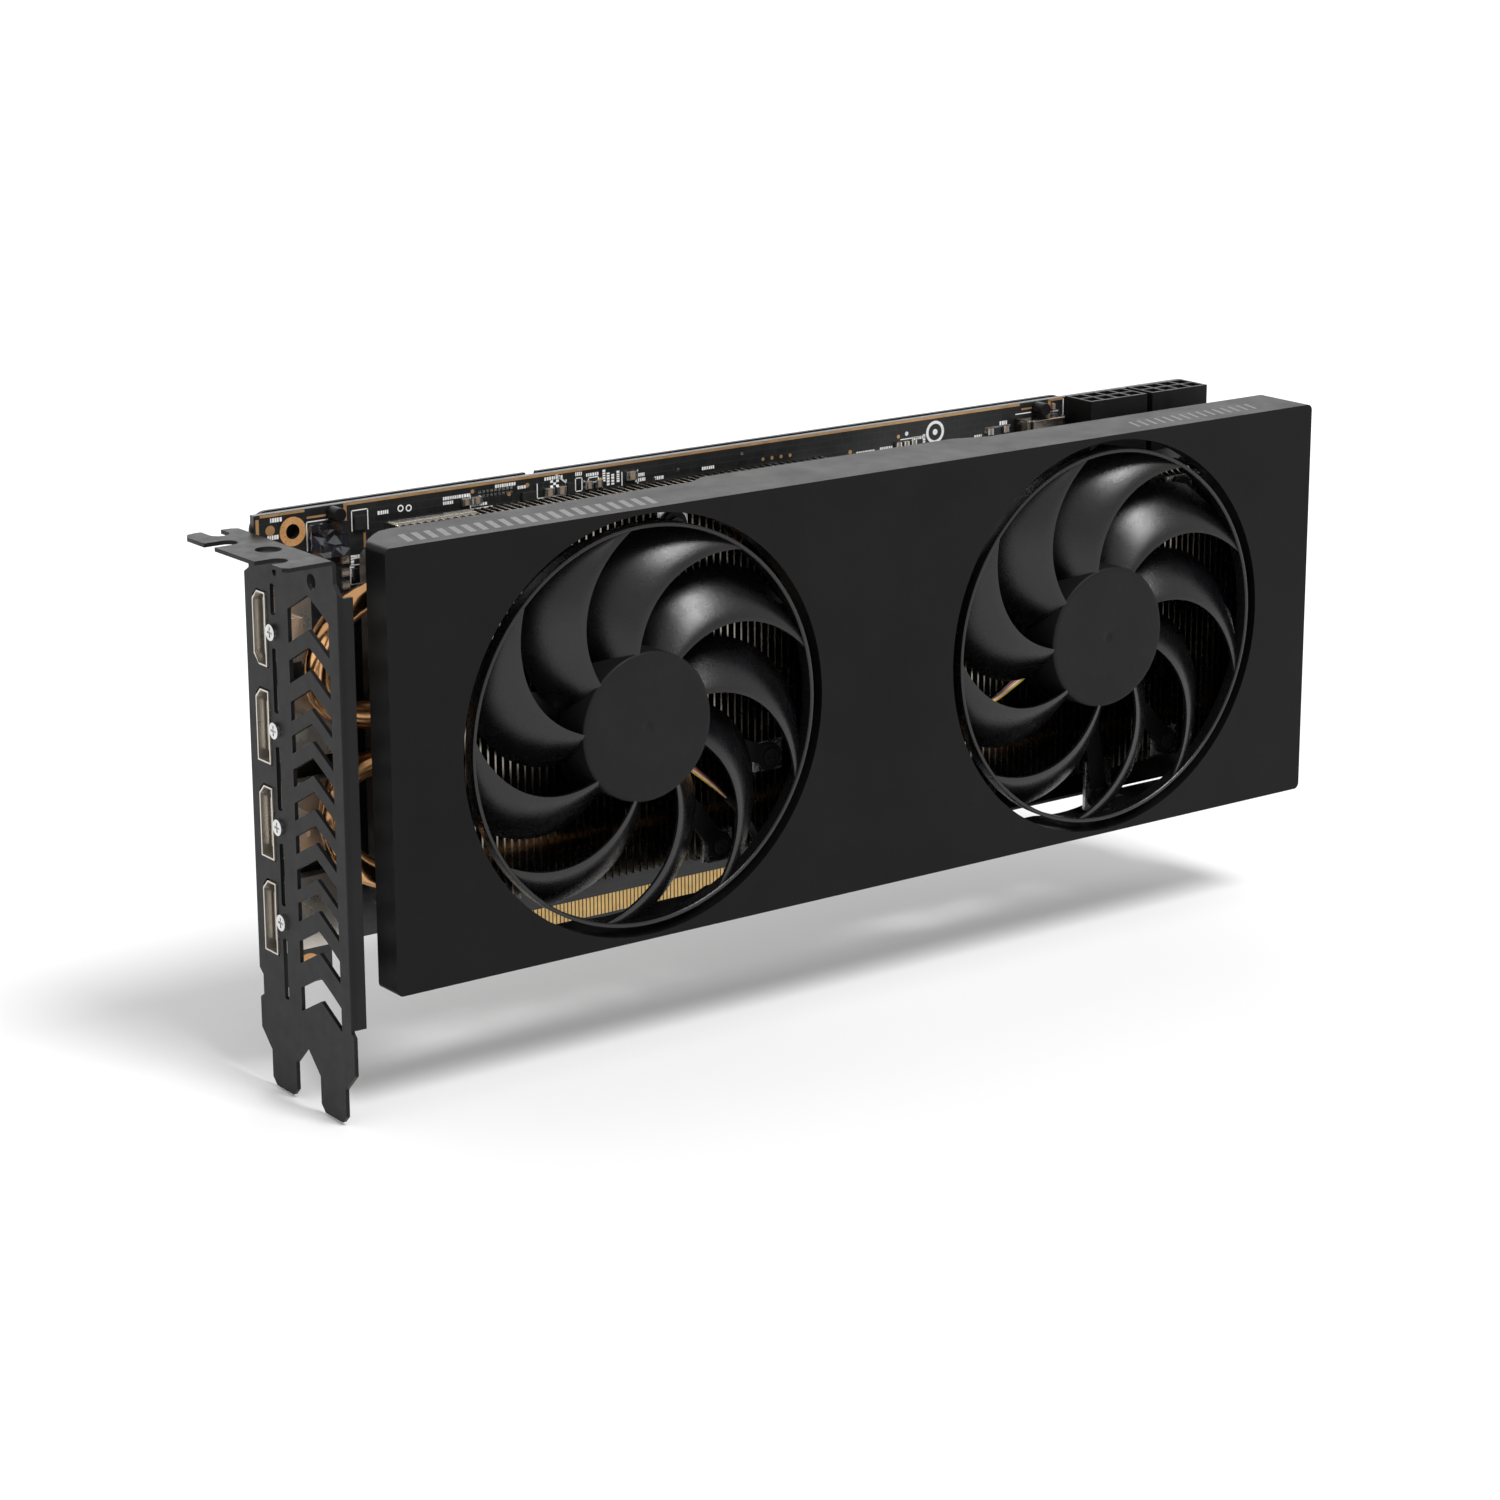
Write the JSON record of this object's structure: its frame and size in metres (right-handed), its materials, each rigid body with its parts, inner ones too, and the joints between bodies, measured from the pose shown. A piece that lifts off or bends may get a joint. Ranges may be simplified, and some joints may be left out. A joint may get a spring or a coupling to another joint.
{
  "type": "dual-slot graphics card",
  "caption": "Dual-slot expansion card with a black shroud, two axial fans, a finned heatsink, a slotted steel bracket, video sockets, an edge connector and power sockets.",
  "frame": {"origin": "outer face of the slot bracket, at the middle of the circuit board's thickness and the height of the edge contacts' lower edge", "axes": "+X from the bracket along the card to its power end, -Y the side the fans face, +Z from the edge contacts up to the power sockets"},
  "size_m": [0.2789, 0.0415, 0.1234],
  "materials": {
    "shroud_plastic": "fine matte texture",
    "fan_plastic": "satin",
    "frame_plastic": "matte",
    "magnet_iron": "dull",
    "steel": "bright",
    "black_screw": "black oxide",
    "bronze": "oiled",
    "winding": "enamelled wire",
    "fin_aluminium": "pressed sheet",
    "pipe_metal": "plated pipe",
    "plate_metal": "cast",
    "copper": "machined copper",
    "pad": "soft pad",
    "board_mask": "black solder mask",
    "gold": "gold plate",
    "solder": "tinned",
    "package": "laminate",
    "silicon": "polished",
    "chip": "moulded epoxy",
    "choke": "pressed powder",
    "can": "drawn can",
    "ceramic": "fired ceramic",
    "film": "film cover",
    "port_shell": "plated shell",
    "connector": "moulded",
    "bracket_coat": "matte coat",
    "backplate_coat": "matte coat",
    "sleeve": "shrink sleeve"
  },
  "bodies": {
    "card": {"shroud": "shroud_plastic", "shroud_screws": "black_screw", "shroud_posts": "steel", "fan_frame_left": "frame_plastic", "fan_frame_right": "frame_plastic", "bearing_left": "bronze", "bearing_right": "bronze", "stator_left": "winding", "stator_right": "winding", "fan_screws": "black_screw", "fan_tabs": "steel", "fan_leads": "sleeve", "fan_plugs": "connector", "fan_headers": "connector", "fins_left": "fin_aluminium", "fins_right": "fin_aluminium", "heat_pipes": "pipe_metal", "cold_plate": "copper", "base_plate": "plate_metal", "vrm_plate": "plate_metal", "thermal_pads": "pad", "circuit_board": "board_mask", "stiffener": "bracket_coat", "edge_contacts": "gold", "hole_rings": "solder", "processor_package": "package", "processor_die": "silicon", "memory_chips": "chip", "power_stages": "chip", "chokes": "choke", "input_choke": "choke", "can_capacitors": "can", "ceramic_capacitors": "ceramic", "control_chips": "chip", "film_cover": "film", "edge_posts": "connector", "hdmi_port": "port_shell", "display_ports": "port_shell", "port_tongues": "connector", "port_blocks": "steel", "power_sockets": "connector", "power_pins": "steel", "bracket": "bracket_coat", "bracket_screws": "black_screw", "backplate": "backplate_coat", "backplate_spacers": "steel", "backplate_screws": "black_screw", "clamp_frame": "steel", "clamp_screws": "steel"},
    "fan_left": {"impeller_left": "fan_plastic", "magnet_left": "magnet_iron", "fan_shaft_left": "steel"},
    "fan_right": {"impeller_right": "fan_plastic", "magnet_right": "magnet_iron", "fan_shaft_right": "steel"}
  },
  "joints": [
    {"name": "fan_left_spin", "type": "hinge", "parent": "card", "child": "fan_left", "pos_m": [0.0743, -0.031, 0.0543], "axis": [0, -1, 0], "continuous": true},
    {"name": "fan_right_spin", "type": "hinge", "parent": "card", "child": "fan_right", "pos_m": [0.2036, -0.031, 0.0543], "axis": [0, -1, 0], "continuous": true}
  ]
}
